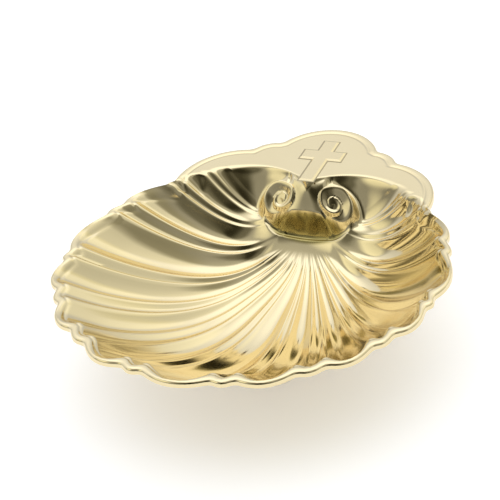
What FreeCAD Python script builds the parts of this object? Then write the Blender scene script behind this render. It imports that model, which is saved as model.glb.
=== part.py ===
import FreeCAD, Part
import math
import os

os.makedirs("parts", exist_ok=True)

# All lengths are millimetres, all angles degrees. The hub is the point that the flutes run to.
# Shape functions work on x and y measured from the hub and on heights measured from the rim.

# Sheet
SHEET = 1.0

# Oval through the notches of the rim, seen from above
OVAL_HALF_WIDTH = 70.7
OVAL_HALF_LENGTH = 64.9
OVAL_AHEAD = 49.3

# Scalloped rim: notches on one side of the front line, as seen from the hub
NOTCH_ANGLES = (6.4, 10.7, 20.9, 26.1, 35.2, 39.8, 49.0, 52.5, 66.0, 70.7, 82.7)
BACK_NOTCH_ANGLES = (86.0, 93.2, 96.4, 103.6)
RIDGE_ROUND_ANGLE = 0.9
BIG_BULGE = 2.7
SMALL_BULGE = 1.2

# Handle tab: round shoulders, a small lobe on each side and a middle lobe
SHOULDER_X = 26.6
SHOULDER_AHEAD = 2.2
SHOULDER_RADIUS = 24.4
SMALL_LOBE_X = 19.5
SMALL_LOBE_BEHIND = 17.6
SMALL_LOBE_RADIUS = 10.8
MIDDLE_LOBE_BEHIND = 19.4
MIDDLE_LOBE_RADIUS = 21.5
LOBE_NOTCH_ROUND = 2.0

# Rim: flat flange, groove along it and turned-down edge
FLANGE = 4.0
FLANGE_END_ANGLE = 74.0
TAB_START_ANGLE = 92.0
LIP_HALF_WIDTH = 1.6
LIP_LIMIT = 12.0
TONGUE_LIP = 4.0
TONGUE_ANGLES = (112.0, 140.0)
EDGE_BAND = 4.6
GROOVE_INSET = 3.4
GROOVE_WIDTH = 0.6
GROOVE_DEPTH = 0.35
EDGE_ROLL_RADIUS = 1.4
EDGE_DROP = 2.3

# Bowl and the wall that leans back from its floor to the tab
BOWL_DEPTH = 32.8
FLOOR_SHARE = 0.38
BACK_FLOOR_SHARE = 0.15
FLOOR_FADE_ANGLES = (20.0, 80.0)
WALL_POWER_FRONT = 2.0
WALL_POWER_SIDE = 1.7
WALL_POWER_BACK = 1.6
BACK_WALL_ANGLES = (70.0, 104.0)
BACK_WALL_SLOPE = 2.0
BACK_WALL_ROUND = 6.0
BACK_WALL_INNER_XS = (3.0, 9.0)
BACK_WALL_OUTER_XS = (40.0, 56.0)
BACK_WALL_RETREAT = 30.0
BACK_LOBE_X = 20.0
BACK_LOBE_AHEAD = 24.0
BACK_LOBE_RADIUS = 34.8
MOUTH_CORNER_ROUND = 2.0

# Flutes
FLUTE_DEPTH = 2.3
FLUTE_START_X = 24.0
FLUTE_START_Y = 9.5
FLUTE_START_SHARES = (1.0, 1.7)
FLUTE_FULL_REACH = 45.0
FLUTE_FULL_ROUND = 0.5
FLUTE_FADE_SHARE = 0.85
FLUTE_RIM_SHARE = 0.75
BACK_FLUTE_GAIN = 1.8
BACK_LOBE_EASE = 0.35

# Swell of the floor around the boss
SWELL_RISE = 11.5
SWELL_SIDE_RISE = 3.0
SWELL_SIDE_SHARE = 0.8
SWELL_SIDE_X = 18.7
SWELL_SIDE_LIMIT = 1.1
SWELL_SIDE_ROUND = 0.8
SWELL_RADIUS = 6.5
SWELL_WIDTH = 9.0
SWELL_END_YS = (-1.0, 8.0)

# Boss with the two scrolls on its leaning face
SCROLL_X = 10.5
SCROLL_BEHIND = 2.5
SCROLL_DEEP = 8.4
SCROLL_RADIUS = 9.0
SCROLL_RELIEF = 2.6
SCROLL_CREST = 0.25
SCROLL_TIGHTENING = 0.15
SCROLL_START = -60.0
SCROLL_RUN_IN = 70.0
SCROLL_EYE_RADIUS = 1.8
BRIDGE_X = 7.0
BRIDGE_AHEAD = 5.2
BRIDGE_ROUND = 3.0
DISC_LIFT = 0.7
DISC_OUT = 1.5
DISC_RADIUS = 6.4
BOSS_SLOPE = 1.5
BOSS_SIDE_TILT = 0.3
BOSS_TILT_START = 6.0
BOSS_TILT_ROUND = 3.0
BOSS_WALL_SLOPE = 2.5
BOSS_EDGE_ROUND = 1.2
BOSS_FOOT_ROUND = 6.0
SADDLE_RISE = 2.5
SADDLE_WIDTH = 4.0
SADDLE_YS = (-0.5, 4.0)

# Cross plate
CROSS_HEIGHT = 27.3
CROSS_SPAN = 16.8
CROSS_BAR = 6.1
CROSS_FOOT_BEHIND = 4.0
CROSS_ARM_RISE = 17.5
CROSS_THICK = 0.6
CROSS_CHAMFER = 0.2

# Ball feet
FOOT_STAND = 4.5
FOOT_BALL_RADIUS = 4.5
FOOT_PAD_RADIUS = 2.4
FOOT_NECK_RADIUS = 2.6
FOOT_SOLDER_GAP = 0.12
FRONT_FOOT_REACH = 66.0
SIDE_FOOT_REACH = 42.0
SIDE_FOOT_ANGLE = 59.3

# Sampling of the pressed form
EDGE_STEP_ANGLE = 0.1
WIDE_LOBE_ANGLE = 6.0
WIDE_LOBE_STEPS = 8
NARROW_LOBE_STEPS = 6
HUB_CAP_RADIUS = 0.6
BOSS_GRID_RADIUS = 19.0
BACK_STEPS = 84
BOSS_RINGS = 26
WALL_RINGS = 30
EDGE_INSETS = (4.0, 3.4, 2.8, 2.2)
ROLL_STEPS = 3
WALL_RING_CROWDING = 1.6
FEELER_SHARES = (0.5, 0.9)
FEELER_TURNS = 8
FOOT_SEAT_STEPS = 8

# Place of the hub and of the rim in the part's frame
FRONT_REACH = OVAL_AHEAD + OVAL_HALF_LENGTH + BIG_BULGE
TAB_REACH = MIDDLE_LOBE_BEHIND + MIDDLE_LOBE_RADIUS
HUB_Y = (FRONT_REACH - TAB_REACH) / 2.0
RIM_Z = FOOT_STAND + SHEET + FLUTE_DEPTH + BOWL_DEPTH


def smooth_max(a, b, reach):
    gap = max(reach - abs(a - b), 0.0)
    return max(a, b) + gap * gap / (4.0 * reach)


def smooth_min(a, b, reach):
    return -smooth_max(-a, -b, reach)


def ramp(value, start, end):
    share = min(max((value - start) / (end - start), 0.0), 1.0)
    return share * share * (3.0 - 2.0 * share)


def oval_reach(angle):
    """Distance from the hub to the oval through the notches; angle 0 looks to the front."""
    across = math.sin(math.radians(angle)) / OVAL_HALF_WIDTH
    along = math.cos(math.radians(angle)) / OVAL_HALF_LENGTH
    lead = OVAL_AHEAD / OVAL_HALF_LENGTH
    square = across * across + along * along
    mixed = along * lead
    return (mixed + math.sqrt(mixed * mixed - square * (lead * lead - 1.0))) / square


def circle_reach(angle, centre_x, centre_y, radius):
    """Distance from the hub to the far side of a circle, or 0 where the ray misses it."""
    across = math.sin(math.radians(angle))
    along = math.cos(math.radians(angle))
    middle = centre_x * across - centre_y * along
    square = radius ** 2 - centre_x ** 2 - centre_y ** 2 + middle ** 2
    if square < 0.0:
        return 0.0
    return middle + math.sqrt(square)


def lobe_edges():
    """Edges of all lobes on one side, from the front line, with the bulge of each."""
    edges = (-NOTCH_ANGLES[0],) + NOTCH_ANGLES + BACK_NOTCH_ANGLES
    spans = []
    for index in range(len(edges) - 1):
        bulge = BIG_BULGE if index % 2 == 0 else SMALL_BULGE
        if index >= len(NOTCH_ANGLES):
            bulge = bulge * BACK_LOBE_EASE
        spans.append((edges[index], edges[index + 1], bulge))
    return spans


LOBES = lobe_edges()


def lobe_arch(angle):
    """Height of the lobe's arch at an angle, from 0 at a notch to 1, and the lobe's bulge."""
    turn = abs(angle)
    for start, end, bulge in LOBES:
        if turn <= end:
            half = (end - start) / 2.0
            off = abs(turn - start - half) / half
            soft = RIDGE_ROUND_ANGLE / half
            arch = 1.0 - off * off
            if off > 1.0 - soft:
                arch = soft + (1.0 - soft) * (1.0 - off) ** 2 / soft
            return (arch - soft) / (1.0 - soft), bulge
    return 0.0, 0.0


def outline_reach(angle):
    """Distance from the hub to the outer edge of the pressing."""
    turn = abs(angle)
    arch, bulge = lobe_arch(turn)
    reach = oval_reach(turn) + arch * bulge
    shoulder = circle_reach(turn, SHOULDER_X, -SHOULDER_AHEAD, SHOULDER_RADIUS)
    small = circle_reach(turn, SMALL_LOBE_X, SMALL_LOBE_BEHIND, SMALL_LOBE_RADIUS)
    middle = circle_reach(turn, 0.0, MIDDLE_LOBE_BEHIND, MIDDLE_LOBE_RADIUS)
    for lobe in (shoulder, small, middle):
        reach = smooth_max(reach, lobe, LOBE_NOTCH_ROUND)
    return reach


def mouth_reach(angle):
    """Distance from the hub to the top of the bowl's wall."""
    turn = abs(angle)
    arch, bulge = lobe_arch(turn)
    inset = FLANGE * math.cos(math.pi * ramp(turn, FLANGE_END_ANGLE, TAB_START_ANGLE))
    front = oval_reach(turn) - inset
    back = circle_reach(turn, BACK_LOBE_X, -BACK_LOBE_AHEAD, BACK_LOBE_RADIUS)
    narrow = smooth_min(front, back, MOUTH_CORNER_ROUND)
    return front + (narrow - front) * ramp(turn, FLANGE_END_ANGLE, TAB_START_ANGLE) + arch * bulge


def wall_power(angle):
    side = math.sin(math.radians(min(abs(angle), 90.0))) ** 2
    power = WALL_POWER_FRONT + (WALL_POWER_SIDE - WALL_POWER_FRONT) * side
    return power + (WALL_POWER_BACK - power) * ramp(abs(angle), *BACK_WALL_ANGLES)


def floor_share(angle):
    """Share of the way to the mouth over which the floor is flat."""
    return FLOOR_SHARE + (BACK_FLOOR_SHARE - FLOOR_SHARE) * ramp(abs(angle), *FLOOR_FADE_ANGLES)


def lip_round(angle):
    """Height over which the wall rolls over into the rim or the tab."""
    slope = BOWL_DEPTH * wall_power(angle) / (1.0 - floor_share(angle)) / mouth_reach(angle)
    wide = min(LIP_HALF_WIDTH * slope, LIP_LIMIT)
    return wide + (TONGUE_LIP - wide) * ramp(abs(angle), *TONGUE_ANGLES)


def bowl_height(x, y):
    """Height of the bowl with its flutes, rising on past its mouth."""
    reach = math.hypot(x, y)
    angle = math.degrees(math.atan2(x, -y))
    mouth = mouth_reach(angle)
    share = reach / mouth
    power = wall_power(angle)
    flat = floor_share(angle)
    rise = max(share - flat, 0.0) / (1.0 - flat)
    height = BOWL_DEPTH * (rise ** power - 1.0)
    slope = BOWL_DEPTH * power * rise ** (power - 1.0) / (1.0 - flat) / mouth
    arch, bulge = lobe_arch(angle)
    grown = smooth_min(reach / FLUTE_FULL_REACH, 1.0, FLUTE_FULL_ROUND)
    clear = math.hypot(x / FLUTE_START_X, (y - SCROLL_BEHIND) / FLUTE_START_Y)
    depth = FLUTE_DEPTH * bulge / BIG_BULGE * grown * ramp(clear, *FLUTE_START_SHARES)
    if abs(angle) > NOTCH_ANGLES[-1]:
        depth = depth * BACK_FLUTE_GAIN
    depth = depth * (1.0 - (1.0 - FLUTE_RIM_SHARE) * ramp(share, FLUTE_FADE_SHARE, 1.0))
    return height - depth * arch * math.sqrt(1.0 + slope * slope)


def back_wall(x, y):
    """Height of the wall that leans back from the floor to the front edge of the tab."""
    off = min(abs(abs(x) - BACK_LOBE_X), BACK_LOBE_RADIUS)
    lip = math.sqrt(BACK_LOBE_RADIUS ** 2 - off ** 2) - BACK_LOBE_AHEAD
    ends = 1.0 - ramp(abs(x), *BACK_WALL_INNER_XS) + ramp(abs(x), *BACK_WALL_OUTER_XS)
    return BACK_WALL_SLOPE * (y - lip - BACK_WALL_RETREAT * ends)


def swell_height(x, y):
    """Rise of the floor towards the foot of the boss, more at its two ends."""
    beside = SWELL_SIDE_SHARE * max(abs(x) - SCROLL_X, 0.0)
    gap = max(math.hypot(beside, y - SCROLL_BEHIND) - SWELL_RADIUS, 0.0)
    side = smooth_min(abs(x) / SWELL_SIDE_X, SWELL_SIDE_LIMIT, SWELL_SIDE_ROUND)
    full = SWELL_RISE + SWELL_SIDE_RISE * side * side
    return full * math.exp(-gap / SWELL_WIDTH) * (1.0 - ramp(y, *SWELL_END_YS))


BOSS_STRETCH = math.sqrt(1.0 + BOSS_SLOPE ** 2)


def scroll_relief(x, y):
    """Rolled strip of each scroll, winding in to its eye from the boss's front edge."""
    across = abs(x) - SCROLL_X
    along = (y - SCROLL_BEHIND) * BOSS_STRETCH
    radius = max(math.hypot(across, along), SCROLL_EYE_RADIUS)
    start = math.radians(SCROLL_START)
    turn = start + (math.atan2(along, across) - start) % (2.0 * math.pi)
    wound = math.log(SCROLL_RADIUS / radius) / SCROLL_TIGHTENING - turn
    wound = wound / (2.0 * math.pi)
    if wound < 0.0:
        return 0.0
    across_strip = wound % 1.0
    skew = SCROLL_CREST / (1.0 - SCROLL_CREST)
    leaning = across_strip / (across_strip + skew * (1.0 - across_strip))
    arch = 1.0 - (2.0 * leaning - 1.0) ** 2
    if wound < 1.0:
        arch = arch * ramp(turn - start, 0.0, math.radians(SCROLL_RUN_IN))
    return SCROLL_RELIEF * radius / SCROLL_RADIUS * arch


def boss_outside(x, y):
    """Distance outside the boss's leaning face: two round ends and the bridge between them."""
    along = (y - SCROLL_BEHIND) * BOSS_STRETCH
    disc = math.hypot(abs(x) - SCROLL_X - DISC_OUT, along - DISC_LIFT) - DISC_RADIUS
    bridge = max(abs(x) - BRIDGE_X, -along - BRIDGE_AHEAD)
    return smooth_min(disc, bridge, BRIDGE_ROUND)


def boss_height(x, y):
    """Height of the boss that stands up from the floor behind the flutes."""
    fall = BOSS_SIDE_TILT * (smooth_max(abs(x), BOSS_TILT_START, BOSS_TILT_ROUND) - SCROLL_X)
    top = BOSS_SLOPE * (y - SCROLL_BEHIND) - SCROLL_DEEP - fall
    saddle = SADDLE_RISE * math.exp(-(x / SADDLE_WIDTH) ** 2) * ramp(y, *SADDLE_YS)
    wall = BOSS_WALL_SLOPE * smooth_max(boss_outside(x, y), 0.0, BOSS_EDGE_ROUND)
    return top + saddle - wall + scroll_relief(x, y)


def form_height(x, y):
    """Height of the pressed form's upper side over the rim, 0 on the flat tab."""
    bowl = bowl_height(x, y) + swell_height(x, y)
    bowl = smooth_max(bowl, back_wall(x, y), BACK_WALL_ROUND)
    inside = smooth_max(bowl, boss_height(x, y), BOSS_FOOT_ROUND)
    return smooth_min(inside, 0.0, lip_round(math.degrees(math.atan2(x, -y))))


def feelers():
    """Steps around a spot, each with the height of a ball of the sheet's thickness there."""
    steps = [(0.0, 0.0, SHEET)]
    for share in FEELER_SHARES:
        for index in range(FEELER_TURNS):
            turn = 2.0 * math.pi * index / FEELER_TURNS
            step = SHEET * share
            drop = math.sqrt(SHEET ** 2 - step ** 2)
            steps.append((step * math.cos(turn), step * math.sin(turn), drop))
    return steps


FEELERS = feelers()


def under_height(x, y):
    """Height of the sheet's lower side, one thickness away from the upper side."""
    return min(form_height(x + run, y + rise) - drop for run, rise, drop in FEELERS)


def ray_of(angle):
    turn = math.radians(angle)
    return FreeCAD.Vector(math.sin(turn), -math.cos(turn), 0.0)


def ray_widening(angle):
    """Length along the ray that crosses one unit of width at the outer edge."""
    after = angle + EDGE_STEP_ANGLE
    before = angle - EDGE_STEP_ANGLE
    ahead = ray_of(after) * outline_reach(after)
    behind = ray_of(before) * outline_reach(before)
    run = ahead - behind
    outward = FreeCAD.Vector(-run.y, run.x, 0.0).normalize()
    return 1.0 / abs(outward.dot(ray_of(angle)))


def groove_depth(inset):
    return GROOVE_DEPTH * math.exp(-((inset - GROOVE_INSET) / GROOVE_WIDTH) ** 2)


UP = FreeCAD.Vector(0.0, 0.0, 1.0)
CAP_HEIGHT = form_height(0.0, 0.0)
CAP_SLOPE = (form_height(0.0, HUB_CAP_RADIUS) - CAP_HEIGHT) / HUB_CAP_RADIUS


def profile(angle):
    """Points of the upper and the lower side along one ray, from the hub to the edge."""
    ray = ray_of(angle)
    edge = outline_reach(angle)
    widening = ray_widening(angle)
    span = edge - EDGE_BAND * widening - BOSS_GRID_RADIUS
    spots = []
    for ring in range(BOSS_RINGS):
        share = ring / BOSS_RINGS
        spots.append((HUB_CAP_RADIUS + (BOSS_GRID_RADIUS - HUB_CAP_RADIUS) * share, EDGE_BAND))
    for ring in range(WALL_RINGS + 1):
        share = 1.0 - (1.0 - ring / WALL_RINGS) ** WALL_RING_CROWDING
        spots.append((BOSS_GRID_RADIUS + span * share, EDGE_BAND))
    for inset in EDGE_INSETS + (EDGE_ROLL_RADIUS,):
        spots.append((edge - inset * widening, inset))
    upper = []
    lower = []
    for reach, inset in spots:
        spot = ray * reach
        upper.append(spot + UP * (form_height(spot.x, spot.y) - groove_depth(inset)))
        lower.append(spot + UP * under_height(spot.x, spot.y))
    spot = ray * HUB_CAP_RADIUS
    upper[0] = spot + UP * (CAP_HEIGHT + CAP_SLOPE * spot.y)
    lower[0] = upper[0] - UP * (SHEET * math.sqrt(1.0 + CAP_SLOPE ** 2))
    centre = upper[-1] - UP * EDGE_ROLL_RADIUS
    for step in range(1, ROLL_STEPS + 1):
        lean = math.radians(90.0 * step / ROLL_STEPS)
        away = ray * (math.sin(lean) * widening) + UP * math.cos(lean)
        upper.append(centre + away * EDGE_ROLL_RADIUS)
        lower.append(centre + away * (EDGE_ROLL_RADIUS - SHEET))
    for side in (upper, lower):
        side.append(FreeCAD.Vector(side[-1].x, side[-1].y, -EDGE_DROP))
    place = FreeCAD.Vector(0.0, HUB_Y, RIM_Z)
    return [point + place for point in upper], [point + place for point in lower]


def clamped_knots(count):
    knots = [float(index) for index in range(count - 2)]
    mults = [4] + [1] * (count - 4) + [4]
    return knots, mults


def surface_face(columns):
    """Face whose control points are the columns of points."""
    knots_u, mults_u = clamped_knots(len(columns))
    knots_v, mults_v = clamped_knots(len(columns[0]))
    surface = Part.BSplineSurface()
    surface.buildFromPolesMultsKnots(columns, mults_u, mults_v, knots_u, knots_v, False, False, 3, 3)
    return surface.toShape()


def border_edge(points):
    knots, mults = clamped_knots(len(points))
    curve = Part.BSplineCurve()
    curve.buildFromPolesMultsKnots(points, mults, knots, False, 3)
    return curve.toShape()


def sector_angles():
    """Angles of the sample rays, one list for each lobe and one for the unfluted back."""
    sectors = []
    spans = [(-end, -start, bulge) for start, end, bulge in reversed(LOBES[1:])] + LOBES
    for start, end, bulge in spans:
        steps = WIDE_LOBE_STEPS if end - start > WIDE_LOBE_ANGLE else NARROW_LOBE_STEPS
        half = (end - start) / 2.0
        turns = [math.sin(math.pi * (step / steps - 0.5)) for step in range(steps + 1)]
        sectors.append([start + half + half * turn for turn in turns])
    last = BACK_NOTCH_ANGLES[-1]
    swing = 360.0 - 2.0 * last
    sectors.append([last + swing * step / BACK_STEPS for step in range(BACK_STEPS + 1)])
    return sectors


def wrapped(angle):
    return angle - 360.0 if angle > 180.0 else angle


def shell_pressing():
    """Bowl, flutes, scrolls, rim and handle tab, pressed from one sheet."""
    faces = []
    caps = ([], [])
    for angles in sector_angles():
        pairs = [profile(wrapped(angle)) for angle in angles]
        sides = ([pair[0] for pair in pairs], [pair[1] for pair in pairs])
        rims = []
        for columns, cap in zip(sides, caps):
            faces.append(surface_face(columns))
            cap.append(border_edge([column[0] for column in columns]))
            rims.append(border_edge([column[-1] for column in columns]))
        faces.append(Part.makeRuledSurface(rims[0], rims[1]))
    for cap in caps:
        faces.append(Part.Face(Part.Wire(cap)))
    shell = Part.makeShell(faces)
    shell.sewShape()
    solid = Part.makeSolid(shell.Shells[0])
    if solid.Volume < 0.0:
        solid.reverse()
    return solid


def cross_plate():
    """Latin cross laid flat on the handle tab."""
    foot = HUB_Y + CROSS_FOOT_BEHIND
    low = foot + CROSS_ARM_RISE - CROSS_BAR / 2.0
    high = low + CROSS_BAR
    top = foot + CROSS_HEIGHT
    bar = CROSS_BAR / 2.0
    arm = CROSS_SPAN / 2.0
    half = [(bar, foot), (bar, low), (arm, low), (arm, high), (bar, high), (bar, top)]
    outline = half + [(-x, y) for x, y in reversed(half)]
    corners = [FreeCAD.Vector(x, y, RIM_Z) for x, y in outline]
    plate = Part.Face(Part.makePolygon(corners + corners[:1]))
    plate = plate.extrude(FreeCAD.Vector(0.0, 0.0, CROSS_THICK))
    top_z = RIM_Z + CROSS_THICK
    edges = [edge for edge in plate.Edges if abs(edge.BoundBox.ZMin - top_z) < CROSS_CHAMFER / 2.0]
    return plate.makeChamfer(CROSS_CHAMFER, edges)


def ball_foot(reach, angle):
    """Turned ball foot, ground flat below and cut above to lean against the bowl."""
    x = reach * math.sin(math.radians(angle))
    y = -reach * math.cos(math.radians(angle))
    rise = math.sqrt(FOOT_BALL_RADIUS ** 2 - FOOT_PAD_RADIUS ** 2)
    ball = Part.makeSphere(FOOT_BALL_RADIUS, FreeCAD.Vector(x, y + HUB_Y, rise))
    neck = Part.makeCylinder(FOOT_NECK_RADIUS, RIM_Z, FreeCAD.Vector(x, y + HUB_Y, rise))
    blank = ball.fuse(neck)
    width = 2.0 * FOOT_BALL_RADIUS
    table = Part.makeBox(2.0 * width, 2.0 * width, width)
    table.translate(FreeCAD.Vector(x - width, y + HUB_Y - width, -width))
    lean_x = (under_height(x + FOOT_BALL_RADIUS, y) - under_height(x - FOOT_BALL_RADIUS, y)) / width
    lean_y = (under_height(x, y + FOOT_BALL_RADIUS) - under_height(x, y - FOOT_BALL_RADIUS)) / width
    offsets = [width * (step / FOOT_SEAT_STEPS - 0.5) for step in range(FOOT_SEAT_STEPS + 1)]
    spots = [(dx, dy) for dx in offsets for dy in offsets if math.hypot(dx, dy) < FOOT_BALL_RADIUS]
    clear = min(under_height(x + dx, y + dy) - lean_x * dx - lean_y * dy for dx, dy in spots)
    seat = RIM_Z + clear - FOOT_SOLDER_GAP
    square = [(-width, -width), (width, -width), (width, width), (-width, width), (-width, -width)]
    edge = [FreeCAD.Vector(dx, dy, lean_x * dx + lean_y * dy) for dx, dy in square]
    bowl = Part.Face(Part.makePolygon(edge)).extrude(FreeCAD.Vector(0.0, 0.0, 2.0 * RIM_Z))
    bowl.translate(FreeCAD.Vector(x, y + HUB_Y, seat))
    return blank.cut(table).cut(bowl)


PIECES = {
    "shell_pressing": shell_pressing(),
    "cross_plate": cross_plate(),
    "foot_front": ball_foot(FRONT_FOOT_REACH, 0.0),
    "foot_left": ball_foot(SIDE_FOOT_REACH, -SIDE_FOOT_ANGLE),
    "foot_right": ball_foot(SIDE_FOOT_REACH, SIDE_FOOT_ANGLE),
}

for name, piece in PIECES.items():
    solid = piece.Solids[0]
    box = solid.BoundBox
    print(name, len(piece.Solids), solid.isValid(), round(solid.Volume, 1),
          [round(value, 2) for value in (box.XMin, box.YMin, box.ZMin, box.XMax, box.YMax, box.ZMax)])
    solid.exportStep("parts/" + name + ".step")
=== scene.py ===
import math

import bmesh
import bpy
import numpy as np
from mathutils import Matrix, Vector


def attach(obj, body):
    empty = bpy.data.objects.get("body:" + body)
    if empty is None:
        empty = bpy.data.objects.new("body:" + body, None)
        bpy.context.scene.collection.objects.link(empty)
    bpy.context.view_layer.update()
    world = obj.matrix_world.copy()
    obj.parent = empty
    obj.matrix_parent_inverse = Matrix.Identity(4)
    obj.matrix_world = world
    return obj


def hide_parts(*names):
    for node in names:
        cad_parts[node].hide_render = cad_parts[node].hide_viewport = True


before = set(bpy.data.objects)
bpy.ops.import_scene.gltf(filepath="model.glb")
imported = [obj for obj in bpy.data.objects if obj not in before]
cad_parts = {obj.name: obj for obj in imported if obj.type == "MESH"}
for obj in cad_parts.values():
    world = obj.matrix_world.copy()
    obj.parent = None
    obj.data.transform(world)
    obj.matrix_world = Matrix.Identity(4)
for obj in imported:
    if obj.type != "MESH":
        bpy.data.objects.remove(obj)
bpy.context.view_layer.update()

MM = 0.001

# Values of the pressed form, in millimetres and degrees, from the hub that the flutes run to
SHEET = 1.0
OVAL_HALF_WIDTH = 70.7
OVAL_HALF_LENGTH = 64.9
OVAL_AHEAD = 49.3
NOTCH_ANGLES = (6.4, 10.7, 20.9, 26.1, 35.2, 39.8, 49.0, 52.5, 66.0, 70.7, 82.7)
BACK_NOTCH_ANGLES = (86.0, 93.2, 96.4, 103.6)
RIDGE_ROUND_ANGLE = 0.9
BIG_BULGE = 2.7
SMALL_BULGE = 1.2
SHOULDER_X = 26.6
SHOULDER_AHEAD = 2.2
SHOULDER_RADIUS = 24.4
SMALL_LOBE_X = 19.5
SMALL_LOBE_BEHIND = 17.6
SMALL_LOBE_RADIUS = 10.8
MIDDLE_LOBE_BEHIND = 19.4
MIDDLE_LOBE_RADIUS = 21.5
LOBE_NOTCH_ROUND = 2.0
FLANGE = 4.0
FLANGE_END_ANGLE = 74.0
TAB_START_ANGLE = 92.0
LIP_HALF_WIDTH = 1.6
LIP_LIMIT = 12.0
TONGUE_LIP = 4.0
TONGUE_ANGLES = (112.0, 140.0)
EDGE_BAND = 4.6
GROOVE_INSET = 3.4
GROOVE_WIDTH = 0.6
GROOVE_DEPTH = 0.35
EDGE_ROLL_RADIUS = 1.4
EDGE_DROP = 2.3
BOWL_DEPTH = 32.8
FLOOR_SHARE = 0.38
BACK_FLOOR_SHARE = 0.15
FLOOR_FADE_ANGLES = (20.0, 80.0)
WALL_POWER_FRONT = 2.0
WALL_POWER_SIDE = 1.7
WALL_POWER_BACK = 1.6
BACK_WALL_ANGLES = (70.0, 104.0)
BACK_WALL_SLOPE = 2.0
BACK_WALL_ROUND = 6.0
BACK_WALL_INNER_XS = (3.0, 9.0)
BACK_WALL_OUTER_XS = (40.0, 56.0)
BACK_WALL_RETREAT = 30.0
BACK_LOBE_X = 20.0
BACK_LOBE_AHEAD = 24.0
BACK_LOBE_RADIUS = 34.8
MOUTH_CORNER_ROUND = 2.0
FLUTE_DEPTH = 2.3
FLUTE_START_X = 24.0
FLUTE_START_Y = 9.5
FLUTE_START_SHARES = (1.0, 1.7)
FLUTE_FULL_REACH = 45.0
FLUTE_FULL_ROUND = 0.5
FLUTE_FADE_SHARE = 0.85
FLUTE_RIM_SHARE = 0.75
BACK_FLUTE_GAIN = 1.8
BACK_LOBE_EASE = 0.35
SWELL_RISE = 11.5
SWELL_SIDE_RISE = 3.0
SWELL_SIDE_SHARE = 0.8
SWELL_SIDE_X = 18.7
SWELL_SIDE_LIMIT = 1.1
SWELL_SIDE_ROUND = 0.8
SWELL_RADIUS = 6.5
SWELL_WIDTH = 9.0
SWELL_END_YS = (-1.0, 8.0)
SCROLL_X = 10.5
SCROLL_BEHIND = 2.5
SCROLL_DEEP = 8.4
SCROLL_RADIUS = 9.0
SCROLL_RELIEF = 2.6
SCROLL_CREST = 0.25
SCROLL_TIGHTENING = 0.15
SCROLL_START = -60.0
SCROLL_RUN_IN = 70.0
SCROLL_EYE_RADIUS = 1.8
BRIDGE_X = 7.0
BRIDGE_AHEAD = 5.2
DISC_LIFT = 0.7
DISC_OUT = 1.5
DISC_RADIUS = 6.4
BRIDGE_ROUND = 3.0
BOSS_SLOPE = 1.5
BOSS_SIDE_TILT = 0.3
BOSS_TILT_START = 6.0
BOSS_TILT_ROUND = 3.0
BOSS_WALL_SLOPE = 2.5
BOSS_EDGE_ROUND = 1.2
BOSS_FOOT_ROUND = 6.0
SADDLE_RISE = 2.5
SADDLE_WIDTH = 4.0
SADDLE_YS = (-0.5, 4.0)
BOSS_STRETCH = math.sqrt(1.0 + BOSS_SLOPE ** 2)
FOOT_STAND = 4.5

# Cross
CROSS_HEIGHT = 27.3
CROSS_SPAN = 16.8
CROSS_BAR = 6.1
CROSS_FOOT_BEHIND = 4.0
CROSS_ARM_RISE = 17.5
CROSS_THICK = 0.6
CROSS_EDGE_SLOPE = 0.7
CROSS_SEAM = 0.4
CROSS_SEAM_RISE = 0.05

# Cloudy wear and fine grain of the brass, and how a painted shade spot fades out
CLOUD_SCALE = 38.0
CLOUD_DETAIL = 4.0
CLOUD_RANGE = (0.3, 0.7)
GRAIN_SCALE = 700.0
GRAIN_DETAIL = 2.0
GRAIN_DEPTH = 0.05
SPOT_FADE = (0.85, 1.15)

# Painted shade under the scrolls: the wall there gets a darker base colour on its upper side, in place
# of the dark reflection it shows
CORNER_SHADE_AHEAD = 1.6
CORNER_SHADE_DEEP = 18.5
CORNER_SHADE_HALVES = (15.0, 3.6, 8.0)
CORNER_PAINTED_SHADE = (0.33, 0.27, 0.1)
UPPER_SIDE = "upper_side"

# Painted shade round the cross: the thin seam layer over the tab and the foot of the sloping edges get a
# darker base colour, as a contact shadow line
SEAM_SHADE_HALVES = (100.0, 100.0, 0.1)
SEAM_PAINTED_SHADE = (0.42, 0.35, 0.2)

# Fineness of the mesh
WIDE_LOBE_ANGLE = 6.0
WIDE_LOBE_STEPS = 14
NARROW_LOBE_STEPS = 8
BACK_STEPS = 136
BOSS_GRID_RADIUS = 19.0
BOSS_RINGS = 44
WALL_RINGS = 46
UNDER_BOSS_RINGS = 16
UNDER_WALL_RINGS = 26
EDGE_INSETS = (4.2, 3.9, 3.65, 3.4, 3.15, 2.9, 2.6, 2.2, 1.8, EDGE_ROLL_RADIUS)
UNDER_EDGE_INSETS = (3.2, EDGE_ROLL_RADIUS)
ROLL_STEPS = 6
EDGE_STEP_ANGLE = 0.1
WALL_RING_CROWDING = 1.6
SMOOTH_ANGLE = 50.0
FEELER_SHARES = (0.5, 0.9)
FEELER_TURNS = 8

HUB_Y = (OVAL_AHEAD + OVAL_HALF_LENGTH + BIG_BULGE - MIDDLE_LOBE_BEHIND - MIDDLE_LOBE_RADIUS) / 2.0
RIM_Z = FOOT_STAND + SHEET + FLUTE_DEPTH + BOWL_DEPTH


# Shape of the pressing, on arrays of points
def smooth_max(a, b, reach):
    gap = np.maximum(reach - np.abs(a - b), 0.0)
    return np.maximum(a, b) + gap * gap / (4.0 * reach)


def smooth_min(a, b, reach):
    return -smooth_max(-a, -b, reach)


def ramp(value, start, end):
    share = np.clip((value - start) / (end - start), 0.0, 1.0)
    return share * share * (3.0 - 2.0 * share)


def oval_reach(turn):
    across = np.sin(np.radians(turn)) / OVAL_HALF_WIDTH
    along = np.cos(np.radians(turn)) / OVAL_HALF_LENGTH
    lead = OVAL_AHEAD / OVAL_HALF_LENGTH
    square = across * across + along * along
    mixed = along * lead
    return (mixed + np.sqrt(mixed * mixed - square * (lead * lead - 1.0))) / square


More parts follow.
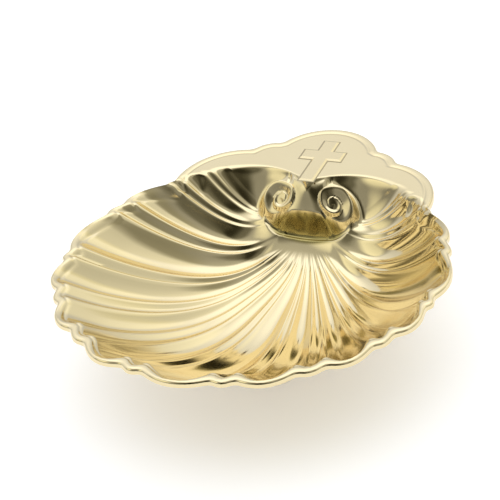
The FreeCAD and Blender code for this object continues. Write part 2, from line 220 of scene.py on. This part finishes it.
def circle_reach(turn, centre_x, centre_y, radius):
    across = np.sin(np.radians(turn))
    along = np.cos(np.radians(turn))
    middle = centre_x * across - centre_y * along
    square = radius ** 2 - centre_x ** 2 - centre_y ** 2 + middle ** 2
    return np.where(square < 0.0, 0.0, middle + np.sqrt(np.maximum(square, 0.0)))


def lobe_edges():
    edges = (-NOTCH_ANGLES[0],) + NOTCH_ANGLES + BACK_NOTCH_ANGLES
    spans = []
    for index in range(len(edges) - 1):
        bulge = BIG_BULGE if index % 2 == 0 else SMALL_BULGE
        if index >= len(NOTCH_ANGLES):
            bulge = bulge * BACK_LOBE_EASE
        spans.append((edges[index], edges[index + 1], bulge))
    return spans


LOBES = lobe_edges()


def lobe_arch(turn):
    arch = np.zeros_like(turn)
    bulge = np.zeros_like(turn)
    for start, end, size in LOBES:
        half = (end - start) / 2.0
        off = np.abs(turn - start - half) / half
        soft = RIDGE_ROUND_ANGLE / half
        rise = np.where(off > 1.0 - soft,
                        soft + (1.0 - soft) * (1.0 - off) ** 2 / soft, 1.0 - off * off)
        here = (turn > start) & (turn <= end)
        arch = np.where(here, (rise - soft) / (1.0 - soft), arch)
        bulge = np.where(here, size, bulge)
    return arch, bulge


def outline_reach(angle):
    turn = np.abs(angle)
    arch, bulge = lobe_arch(turn)
    reach = oval_reach(turn) + arch * bulge
    for lobe in (circle_reach(turn, SHOULDER_X, -SHOULDER_AHEAD, SHOULDER_RADIUS),
                 circle_reach(turn, SMALL_LOBE_X, SMALL_LOBE_BEHIND, SMALL_LOBE_RADIUS),
                 circle_reach(turn, 0.0, MIDDLE_LOBE_BEHIND, MIDDLE_LOBE_RADIUS)):
        reach = smooth_max(reach, lobe, LOBE_NOTCH_ROUND)
    return reach


def mouth_reach(angle):
    turn = np.abs(angle)
    arch, bulge = lobe_arch(turn)
    to_tab = ramp(turn, FLANGE_END_ANGLE, TAB_START_ANGLE)
    front = oval_reach(turn) - FLANGE * np.cos(math.pi * to_tab)
    back = circle_reach(turn, BACK_LOBE_X, -BACK_LOBE_AHEAD, BACK_LOBE_RADIUS)
    narrow = smooth_min(front, back, MOUTH_CORNER_ROUND)
    return front + (narrow - front) * to_tab + arch * bulge


def wall_power(angle):
    side = np.sin(np.radians(np.minimum(np.abs(angle), 90.0))) ** 2
    power = WALL_POWER_FRONT + (WALL_POWER_SIDE - WALL_POWER_FRONT) * side
    return power + (WALL_POWER_BACK - power) * ramp(np.abs(angle), *BACK_WALL_ANGLES)


def floor_share(angle):
    return FLOOR_SHARE + (BACK_FLOOR_SHARE - FLOOR_SHARE) * ramp(np.abs(angle), *FLOOR_FADE_ANGLES)


def lip_round(angle):
    slope = BOWL_DEPTH * wall_power(angle) / (1.0 - floor_share(angle)) / mouth_reach(angle)
    wide = np.minimum(LIP_HALF_WIDTH * slope, LIP_LIMIT)
    return wide + (TONGUE_LIP - wide) * ramp(np.abs(angle), *TONGUE_ANGLES)


def swell_gap(x, y):
    beside = SWELL_SIDE_SHARE * np.maximum(np.abs(x) - SCROLL_X, 0.0)
    return np.maximum(np.hypot(beside, y - SCROLL_BEHIND) - SWELL_RADIUS, 0.0)


def bowl_height(x, y):
    reach = np.hypot(x, y)
    angle = np.degrees(np.arctan2(x, -y))
    mouth = mouth_reach(angle)
    share = reach / mouth
    power = wall_power(angle)
    flat = floor_share(angle)
    rise = np.maximum(share - flat, 0.0) / (1.0 - flat)
    height = BOWL_DEPTH * (rise ** power - 1.0)
    slope = BOWL_DEPTH * power * rise ** (power - 1.0) / (1.0 - flat) / mouth
    arch, bulge = lobe_arch(np.abs(angle))
    depth = FLUTE_DEPTH * bulge / BIG_BULGE * smooth_min(reach / FLUTE_FULL_REACH, 1.0, FLUTE_FULL_ROUND)
    clear = np.hypot(x / FLUTE_START_X, (y - SCROLL_BEHIND) / FLUTE_START_Y)
    depth = depth * ramp(clear, *FLUTE_START_SHARES)
    depth = depth * np.where(np.abs(angle) > NOTCH_ANGLES[-1], BACK_FLUTE_GAIN, 1.0)
    depth = depth * (1.0 - (1.0 - FLUTE_RIM_SHARE) * ramp(share, FLUTE_FADE_SHARE, 1.0))
    return height - depth * arch * np.sqrt(1.0 + slope * slope)


def back_wall(x, y):
    """Wall that leans back from the floor to the front edge of the tab."""
    off = np.minimum(np.abs(np.abs(x) - BACK_LOBE_X), BACK_LOBE_RADIUS)
    lip = np.sqrt(BACK_LOBE_RADIUS ** 2 - off ** 2) - BACK_LOBE_AHEAD
    ends = 1.0 - ramp(np.abs(x), *BACK_WALL_INNER_XS) + ramp(np.abs(x), *BACK_WALL_OUTER_XS)
    return BACK_WALL_SLOPE * (y - lip - BACK_WALL_RETREAT * ends)


def scroll_relief(x, y):
    """Rolled tube of each scroll, winding in to its eye from the boss's front edge."""
    across = np.abs(x) - SCROLL_X
    along = (y - SCROLL_BEHIND) * BOSS_STRETCH
    radius = np.maximum(np.hypot(across, along), SCROLL_EYE_RADIUS)
    start = math.radians(SCROLL_START)
    turn = start + np.mod(np.arctan2(along, across) - start, 2.0 * math.pi)
    wound = np.log(SCROLL_RADIUS / radius) / SCROLL_TIGHTENING - turn
    wound = wound / (2.0 * math.pi)
    across_strip = np.mod(wound, 1.0)
    skew = SCROLL_CREST / (1.0 - SCROLL_CREST)
    leaning = across_strip / (across_strip + skew * (1.0 - across_strip))
    arch = 1.0 - np.abs(2.0 * leaning - 1.0) ** 2
    run_in = ramp(turn - start, 0.0, math.radians(SCROLL_RUN_IN))
    share = np.where(wound < 0.0, 0.0, np.where(wound < 1.0, run_in, 1.0))
    return SCROLL_RELIEF * radius / SCROLL_RADIUS * arch * share


def boss_outside(x, y):
    along = (y - SCROLL_BEHIND) * BOSS_STRETCH
    discs = np.hypot(np.abs(x) - SCROLL_X - DISC_OUT, along - DISC_LIFT) - DISC_RADIUS
    bridge = np.maximum(np.abs(x) - BRIDGE_X, -along - BRIDGE_AHEAD)
    return smooth_min(discs, bridge, BRIDGE_ROUND)


def boss_height(x, y):
    fall = BOSS_SIDE_TILT * (smooth_max(np.abs(x), BOSS_TILT_START, BOSS_TILT_ROUND) - SCROLL_X)
    top = BOSS_SLOPE * (y - SCROLL_BEHIND) - SCROLL_DEEP - fall
    saddle = SADDLE_RISE * np.exp(-(x / SADDLE_WIDTH) ** 2) * ramp(y, *SADDLE_YS)
    wall = BOSS_WALL_SLOPE * smooth_max(boss_outside(x, y), 0.0, BOSS_EDGE_ROUND)
    return top + saddle - wall + scroll_relief(x, y)


def form_height(x, y):
    angle = np.degrees(np.arctan2(x, -y))
    gap = swell_gap(x, y)
    side = smooth_min(np.abs(x) / SWELL_SIDE_X, SWELL_SIDE_LIMIT, SWELL_SIDE_ROUND) ** 2
    swell = (SWELL_RISE + SWELL_SIDE_RISE * side) * np.exp(-gap / SWELL_WIDTH)
    swell = swell * (1.0 - ramp(y, *SWELL_END_YS))
    bowl = smooth_max(bowl_height(x, y) + swell, back_wall(x, y), BACK_WALL_ROUND)
    inside = smooth_max(bowl, boss_height(x, y), BOSS_FOOT_ROUND)
    return smooth_min(inside, 0.0, lip_round(angle))


def under_height(x, y):
    low = form_height(x, y) - SHEET
    for share in FEELER_SHARES:
        for index in range(FEELER_TURNS):
            turn = 2.0 * math.pi * index / FEELER_TURNS
            step = SHEET * share
            felt = form_height(x + step * math.cos(turn), y + step * math.sin(turn))
            low = np.minimum(low, felt - math.sqrt(SHEET ** 2 - step ** 2))
    return low


def ray_angles():
    """Angles of the mesh's columns: even arcs in each flute, then round the back."""
    turns = []
    spans = [(-end, -start, bulge) for start, end, bulge in reversed(LOBES[1:])] + LOBES
    for start, end, bulge in spans:
        steps = WIDE_LOBE_STEPS if end - start > WIDE_LOBE_ANGLE else NARROW_LOBE_STEPS
        half = (end - start) / 2.0
        for step in range(steps):
            turns.append(start + half + half * math.sin(math.pi * (step / steps - 0.5)))
    last = BACK_NOTCH_ANGLES[-1]
    swing = 360.0 - 2.0 * last
    turns += [last + swing * step / BACK_STEPS for step in range(BACK_STEPS)]
    return np.array([turn - 360.0 if turn > 180.0 else turn for turn in turns])


def spots_along(edge, widening, boss_rings, wall_rings, insets):
    """Distances from the hub along every ray, and how far in from the edge each one is."""
    start = np.full_like(edge, BOSS_GRID_RADIUS)
    span = edge - EDGE_BAND * widening - start
    reach = [start * ring / boss_rings for ring in range(1, boss_rings)]
    for ring in range(wall_rings + 1):
        reach.append(start + span * (1.0 - (1.0 - ring / wall_rings) ** WALL_RING_CROWDING))
    inset = [EDGE_BAND] * len(reach) + list(insets)
    reach += [edge - value * widening for value in insets]
    return np.array(reach), np.array(inset)


def shell_mesh():
    """Points and faces of the sheet, upper side, rolled edge and lower side, and which are upper."""
    angles = ray_angles()
    edge = outline_reach(angles)
    ray_x = np.sin(np.radians(angles))
    ray_y = -np.cos(np.radians(angles))
    sides = (EDGE_STEP_ANGLE, -EDGE_STEP_ANGLE)
    ends = [(np.radians(angles + side), outline_reach(angles + side)) for side in sides]
    run_x = ends[0][1] * np.sin(ends[0][0]) - ends[1][1] * np.sin(ends[1][0])
    run_y = ends[1][1] * np.cos(ends[1][0]) - ends[0][1] * np.cos(ends[0][0])
    widening = np.hypot(run_x, run_y) / np.abs(run_x * ray_y - run_y * ray_x)

    rows = []
    reach, inset = spots_along(edge, widening, BOSS_RINGS, WALL_RINGS, EDGE_INSETS)
    x = reach * ray_x
    y = reach * ray_y
    groove = GROOVE_DEPTH * np.exp(-((inset - GROOVE_INSET) / GROOVE_WIDTH) ** 2)
    z = form_height(x, y) - groove[:, None]
    for index in range(len(reach)):
        rows.append(np.stack([x[index], y[index], z[index]], 1))
    upper_rows = len(rows)
    rolls = [90.0 * step / ROLL_STEPS for step in range(1, ROLL_STEPS + 1)]
    outer = []
    inner = []
    for lean in rolls:
        out = math.sin(math.radians(lean))
        drop = 1.0 - math.cos(math.radians(lean))
        for kept, radius in ((outer, EDGE_ROLL_RADIUS), (inner, EDGE_ROLL_RADIUS - SHEET)):
            spot = edge - (EDGE_ROLL_RADIUS - radius * out) * widening
            low = -(EDGE_ROLL_RADIUS - radius) - radius * drop
            kept.append(np.stack([spot * ray_x, spot * ray_y, np.full_like(spot, low)], 1))
    for kept in (outer, inner):
        last = kept[-1].copy()
        last[:, 2] = -EDGE_DROP
        kept.append(last)
    rows += outer + inner[::-1]
    reach, inset = spots_along(edge, widening, UNDER_BOSS_RINGS, UNDER_WALL_RINGS,
                               UNDER_EDGE_INSETS)
    x = reach * ray_x
    y = reach * ray_y
    z = under_height(x, y)
    for index in reversed(range(len(reach))):
        rows.append(np.stack([x[index], y[index], z[index]], 1))

    count = len(angles)
    points = np.concatenate(rows)
    hub = np.zeros(1)
    hub_top = form_height(hub, hub)[0]
    hub_low = under_height(hub, hub)[0]
    points = np.concatenate([points, [[0.0, 0.0, hub_top], [0.0, 0.0, hub_low]]])
    faces = []
    for row in range(len(rows) - 1):
        for column in range(count):
            beside = (column + 1) % count
            faces.append((row * count + column, row * count + count + column,
                          row * count + count + beside, row * count + beside))
    top = len(points) - 2
    final = (len(rows) - 1) * count
    for column in range(count):
        beside = (column + 1) % count
        faces.append((top, column, beside))
        faces.append((top + 1, final + beside, final + column))
    upper = np.arange(len(points)) < upper_rows * count
    upper[top] = True
    points = (points + np.array([0.0, HUB_Y, RIM_Z])) * MM
    return points, faces, upper


def deselect():
    bpy.ops.object.select_all(action="DESELECT")


def pressed_shell():
    points, faces, upper = shell_mesh()
    mesh = bpy.data.meshes.new("pressed_shell")
    mesh.from_pydata(points.tolist(), [], faces)
    mesh.update()
    marked = mesh.attributes.new(UPPER_SIDE, "FLOAT", "POINT")
    marked.data.foreach_set("value", upper.astype(np.float32))
    shell = bpy.data.objects.new("pressed_shell", mesh)
    bpy.context.scene.collection.objects.link(shell)
    deselect()
    shell.select_set(True)
    bpy.context.view_layer.objects.active = shell
    bpy.ops.object.mode_set(mode="EDIT")
    bpy.ops.mesh.select_all(action="SELECT")
    bpy.ops.mesh.normals_make_consistent(inside=False)
    bpy.ops.object.mode_set(mode="OBJECT")
    bpy.ops.object.shade_smooth_by_angle(angle=math.radians(SMOOTH_ANGLE))
    return shell


def edge_middle(edge):
    return (edge.verts[0].co + edge.verts[1].co) / 2.0


def raised_cross():
    """Cross with a thin seam and sloping edges, grown from its crossing on the tab."""
    deselect()
    half = CROSS_BAR / 2.0 + CROSS_SEAM
    middle = HUB_Y + CROSS_FOOT_BEHIND + CROSS_ARM_RISE
    bpy.ops.mesh.primitive_plane_add(size=2.0 * half * MM, location=(0.0, middle * MM, RIM_Z * MM))
    cross = bpy.context.object
    cross.name = "raised_cross"
    bpy.ops.object.transform_apply(location=True, rotation=True, scale=True)
    bpy.ops.object.mode_set(mode="EDIT")
    arm = (CROSS_SPAN - CROSS_BAR) / 2.0
    foot = CROSS_ARM_RISE - CROSS_BAR / 2.0
    head = CROSS_HEIGHT - CROSS_BAR - foot
    ways = ((1.0, 0.0, arm), (-1.0, 0.0, arm), (0.0, -1.0, foot), (0.0, 1.0, head))
    for across, along, length in ways:
        bpy.ops.mesh.select_all(action="DESELECT")
        shape = bmesh.from_edit_mesh(cross.data)
        side = Vector((across * half, middle + along * half, RIM_Z)) * MM
        nearest = min(shape.edges, key=lambda edge: (edge_middle(edge) - side).length)
        nearest.select_set(True)
        bmesh.update_edit_mesh(cross.data)
        bpy.ops.mesh.extrude_region_move(
            TRANSFORM_OT_translate={"value": (across * length * MM, along * length * MM, 0.0)})
    bpy.ops.mesh.select_all(action="SELECT")
    bpy.ops.mesh.normals_make_consistent(inside=False)
    bpy.ops.mesh.extrude_region_move(TRANSFORM_OT_translate={"value": (0.0, 0.0, CROSS_SEAM_RISE * MM)})
    bpy.ops.mesh.inset(thickness=CROSS_SEAM * MM, depth=0.0, use_even_offset=True)
    bpy.ops.mesh.inset(thickness=CROSS_EDGE_SLOPE * MM, depth=(CROSS_THICK - CROSS_SEAM_RISE) * MM)
    bpy.ops.mesh.select_all(action="SELECT")
    bpy.ops.mesh.normals_make_consistent(inside=False)
    bpy.ops.object.mode_set(mode="OBJECT")
    return cross


# Materials
def link(tree, source, target):
    tree.links.new(source, target)


def brass(name, colour, shade, rough, rough_swing, grain):
    """Polished brass with faint cloudy wear, read from the piece's own coordinates."""
    material = bpy.data.materials.new(name)
    material.use_nodes = True
    tree = material.node_tree
    shader = tree.nodes["Principled BSDF"]
    shader.inputs["Metallic"].default_value = 1.0
    place = tree.nodes.new("ShaderNodeTexCoord")
    cloud = tree.nodes.new("ShaderNodeTexNoise")
    cloud.inputs["Scale"].default_value = CLOUD_SCALE
    cloud.inputs["Detail"].default_value = CLOUD_DETAIL
    link(tree, place.outputs["Object"], cloud.inputs["Vector"])
    tint = tree.nodes.new("ShaderNodeMix")
    tint.data_type = "RGBA"
    tint.inputs[6].default_value = (*shade, 1.0)
    tint.inputs[7].default_value = (*colour, 1.0)
    link(tree, cloud.outputs["Fac"], tint.inputs[0])
    link(tree, tint.outputs[2], shader.inputs["Base Color"])
    dull = tree.nodes.new("ShaderNodeMapRange")
    dull.inputs["From Min"].default_value = CLOUD_RANGE[0]
    dull.inputs["From Max"].default_value = CLOUD_RANGE[1]
    dull.inputs["To Min"].default_value = rough
    dull.inputs["To Max"].default_value = rough + rough_swing
    link(tree, cloud.outputs["Fac"], dull.inputs["Value"])
    link(tree, dull.outputs["Result"], shader.inputs["Roughness"])
    fine = tree.nodes.new("ShaderNodeTexNoise")
    fine.inputs["Scale"].default_value = GRAIN_SCALE
    fine.inputs["Detail"].default_value = GRAIN_DETAIL
    link(tree, place.outputs["Object"], fine.inputs["Vector"])
    bump = tree.nodes.new("ShaderNodeBump")
    bump.inputs["Strength"].default_value = grain
    bump.inputs["Distance"].default_value = GRAIN_DEPTH * MM
    link(tree, fine.outputs["Fac"], bump.inputs["Height"])
    link(tree, bump.outputs["Normal"], shader.inputs["Normal"])
    return material


def paint_shade_spot(material, middle, halves, colour, marked=None):
    """Painted shade: a darker base colour inside an ellipsoid, with a soft edge, only on marked points
    if a mark is named.
    """
    tree = material.node_tree
    base = tree.nodes["Principled BSDF"].inputs["Base Color"]
    plain = base.links[0].from_socket
    place = tree.nodes.new("ShaderNodeTexCoord")
    away = tree.nodes.new("ShaderNodeVectorMath")
    away.operation = "MULTIPLY_ADD"
    away.inputs[1].default_value = [1.0 / (half * MM) for half in halves]
    away.inputs[2].default_value = [-spot / half for spot, half in zip(middle, halves)]
    link(tree, place.outputs["Object"], away.inputs[0])
    far = tree.nodes.new("ShaderNodeVectorMath")
    far.operation = "LENGTH"
    link(tree, away.outputs["Vector"], far.inputs[0])
    share = tree.nodes.new("ShaderNodeMapRange")
    share.interpolation_type = "SMOOTHSTEP"
    share.inputs["From Min"].default_value = SPOT_FADE[1]
    share.inputs["From Max"].default_value = SPOT_FADE[0]
    link(tree, far.outputs["Value"], share.inputs["Value"])
    fade = share.outputs["Result"]
    if marked:
        side = tree.nodes.new("ShaderNodeAttribute")
        side.attribute_name = marked
        kept = tree.nodes.new("ShaderNodeMath")
        kept.operation = "MULTIPLY"
        link(tree, fade, kept.inputs[0])
        link(tree, side.outputs["Fac"], kept.inputs[1])
        fade = kept.outputs["Value"]
    mixed = tree.nodes.new("ShaderNodeMix")
    mixed.data_type = "RGBA"
    mixed.inputs[7].default_value = (*colour, 1.0)
    link(tree, fade, mixed.inputs[0])
    link(tree, plain, mixed.inputs[6])
    link(tree, mixed.outputs[2], base)


def put(piece, material):
    piece.data.materials.clear()
    piece.data.materials.append(material)


# Pieces
shell = pressed_shell()
shell_brass = brass("shell_brass", colour=(0.79, 0.67, 0.41), shade=(0.75, 0.62, 0.36),
                    rough=0.08, rough_swing=0.04, grain=0.02)
# Painted shade: darker base colour on the upper side of the wall under the scrolls
corner_shade_middle = (0.0, HUB_Y - CORNER_SHADE_AHEAD, RIM_Z - CORNER_SHADE_DEEP)
paint_shade_spot(shell_brass, corner_shade_middle, CORNER_SHADE_HALVES, CORNER_PAINTED_SHADE, UPPER_SIDE)
put(shell, shell_brass)
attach(shell, "root")
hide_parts("shell_pressing")

cross = raised_cross()
cross_brass = brass("cross_brass", colour=(0.765, 0.645, 0.39), shade=(0.73, 0.6, 0.345),
                    rough=0.12, rough_swing=0.05, grain=0.02)
# Painted shade: darker base colour on the seam and the foot of the cross's edges
paint_shade_spot(cross_brass, (0.0, HUB_Y, RIM_Z), SEAM_SHADE_HALVES, SEAM_PAINTED_SHADE)
put(cross, cross_brass)
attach(cross, "root")
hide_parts("cross_plate")

foot_brass = brass("foot_brass", colour=(0.78, 0.66, 0.41), shade=(0.74, 0.61, 0.36),
                   rough=0.12, rough_swing=0.05, grain=0.02)
for node in ("foot_front", "foot_left", "foot_right"):
    put(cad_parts[node], foot_brass)

# Stage: a pale floor and a pale dome with darker and brighter patches
FLOOR_RADIUS = 8.0
PAPER_COLOUR = (0.82, 0.805, 0.775)
PAPER_ROUGHNESS = 0.9
PAPER_GLOW = 0.35
DOME_STRENGTH = 1.36
DOME_LOW = (0.45, 0.47, 0.52)
DOME_MIDDLE = (0.78, 0.815, 0.9)
DOME_TOP = (1.12, 1.17, 1.28)
DOME_MIDDLE_LIFT = 0.55
DOME_TOP_LIFT = 0.9

# Patches of the dome: turn from the front, lift, cosines of the inner and outer edge, light there
DOME_PATCHES = (
    (-24.0, 16.0, 0.8, 0.66, 0.42),
    (36.0, 26.0, 0.87, 0.76, 0.42),
    (16.0, 17.0, 0.95, 0.9, 0.48),
    (90.0, 15.0, 0.85, 0.75, 0.85),
    (140.0, 18.0, 0.97, 0.9, 1.25),
    (-47.0, 25.0, 0.98, 0.94, 2.7),
    (-3.0, 32.0, 0.975, 0.945, 0.38),
)
PATCH_TINT = (1.0, 0.98, 0.86)

deselect()
bpy.ops.mesh.primitive_circle_add(vertices=96, radius=FLOOR_RADIUS, fill_type="NGON")
floor = bpy.context.object
floor.name = "floor"
paper = bpy.data.materials.new("paper")
paper.use_nodes = True
paper_shader = paper.node_tree.nodes["Principled BSDF"]
paper_shader.inputs["Base Color"].default_value = (*PAPER_COLOUR, 1.0)
paper_shader.inputs["Roughness"].default_value = PAPER_ROUGHNESS
paper_tree = paper.node_tree
paper_path = paper_tree.nodes.new("ShaderNodeLightPath")
seen = paper_path.outputs["Is Camera Ray"]
for kind in ("Is Glossy Ray", "Is Transmission Ray"):
    either = paper_tree.nodes.new("ShaderNodeMath")
    either.operation = "MAXIMUM"
    link(paper_tree, seen, either.inputs[0])
    link(paper_tree, paper_path.outputs[kind], either.inputs[1])
    seen = either.outputs["Value"]
paper_glow = paper_tree.nodes.new("ShaderNodeMath")
paper_glow.operation = "MULTIPLY"
paper_glow.inputs[1].default_value = PAPER_GLOW
link(paper_tree, seen, paper_glow.inputs[0])
paper_shader.inputs["Emission Color"].default_value = (1.0, 1.0, 1.0, 1.0)
link(paper_tree, paper_glow.outputs["Value"], paper_shader.inputs["Emission Strength"])
put(floor, paper)

world = bpy.data.worlds.new("studio")
bpy.context.scene.world = world
world.use_nodes = True
tree = world.node_tree
tree.nodes.clear()
out = tree.nodes.new("ShaderNodeOutputWorld")
sky = tree.nodes.new("ShaderNodeBackground")
place = tree.nodes.new("ShaderNodeTexCoord")
split = tree.nodes.new("ShaderNodeSeparateXYZ")
link(tree, place.outputs["Generated"], split.inputs[0])
dome = tree.nodes.new("ShaderNodeValToRGB")
dome.color_ramp.elements[0].position = 0.0
dome.color_ramp.elements[0].color = (*DOME_LOW, 1.0)
dome.color_ramp.elements[1].position = DOME_TOP_LIFT
dome.color_ramp.elements[1].color = (*DOME_TOP, 1.0)
mid = dome.color_ramp.elements.new(DOME_MIDDLE_LIFT)
mid.color = (*DOME_MIDDLE, 1.0)
link(tree, split.outputs["Z"], dome.inputs[0])
glow = dome.outputs["Color"]
for turn, lift, inner, outer, level in DOME_PATCHES:
    turn, lift = math.radians(turn), math.radians(lift)
    aim = (math.sin(turn) * math.cos(lift), -math.cos(turn) * math.cos(lift), math.sin(lift))
    facing = tree.nodes.new("ShaderNodeVectorMath")
    facing.operation = "DOT_PRODUCT"
    facing.inputs[1].default_value = aim
    link(tree, place.outputs["Generated"], facing.inputs[0])
    shade = tree.nodes.new("ShaderNodeMapRange")
    shade.inputs["From Min"].default_value = outer
    shade.inputs["From Max"].default_value = inner
    link(tree, facing.outputs["Value"], shade.inputs["Value"])
    both = tree.nodes.new("ShaderNodeMix")
    both.data_type = "RGBA"
    both.blend_type = "MULTIPLY"
    both.inputs[7].default_value = (*(level * part for part in PATCH_TINT), 1.0)
    link(tree, shade.outputs["Result"], both.inputs[0])
    link(tree, glow, both.inputs[6])
    glow = both.outputs[2]
sky.inputs["Strength"].default_value = DOME_STRENGTH
link(tree, glow, sky.inputs["Color"])
link(tree, sky.outputs["Background"], out.inputs["Surface"])

# Camera
AZIMUTH, ELEVATION, ROLL = (math.radians(value) for value in (29.0, 34.1, -10.4))
DISTANCE = 0.7
LENS_PIXELS = 1984.5
PICTURE_PIXELS = 500.0
AIM_AHEAD = 45.0
LENS_SHIFT = (-0.0085, 0.0126)
back = np.array((math.sin(AZIMUTH) * math.cos(ELEVATION),
                 -math.cos(AZIMUTH) * math.cos(ELEVATION), math.sin(ELEVATION)))
level = np.array((math.cos(AZIMUTH), math.sin(AZIMUTH), 0.0))
rise = np.cross(back, level)
right = math.cos(ROLL) * level + math.sin(ROLL) * rise
up = math.cos(ROLL) * rise - math.sin(ROLL) * level
eye = np.array((0.0, (HUB_Y - AIM_AHEAD) * MM, RIM_Z * MM)) + back * DISTANCE
lens = bpy.data.cameras.new("camera")
camera = bpy.data.objects.new("camera", lens)
bpy.context.scene.collection.objects.link(camera)
columns = np.stack([right, up, back, eye], 1)
camera.matrix_world = Matrix([list(row) for row in columns] + [[0.0, 0.0, 0.0, 1.0]])
lens.sensor_width = 36.0
lens.lens = LENS_PIXELS / PICTURE_PIXELS * lens.sensor_width
lens.shift_x, lens.shift_y = LENS_SHIFT
lens.clip_end = 50.0
bpy.context.scene.camera = camera
bpy.context.scene.view_settings.view_transform = "Standard"
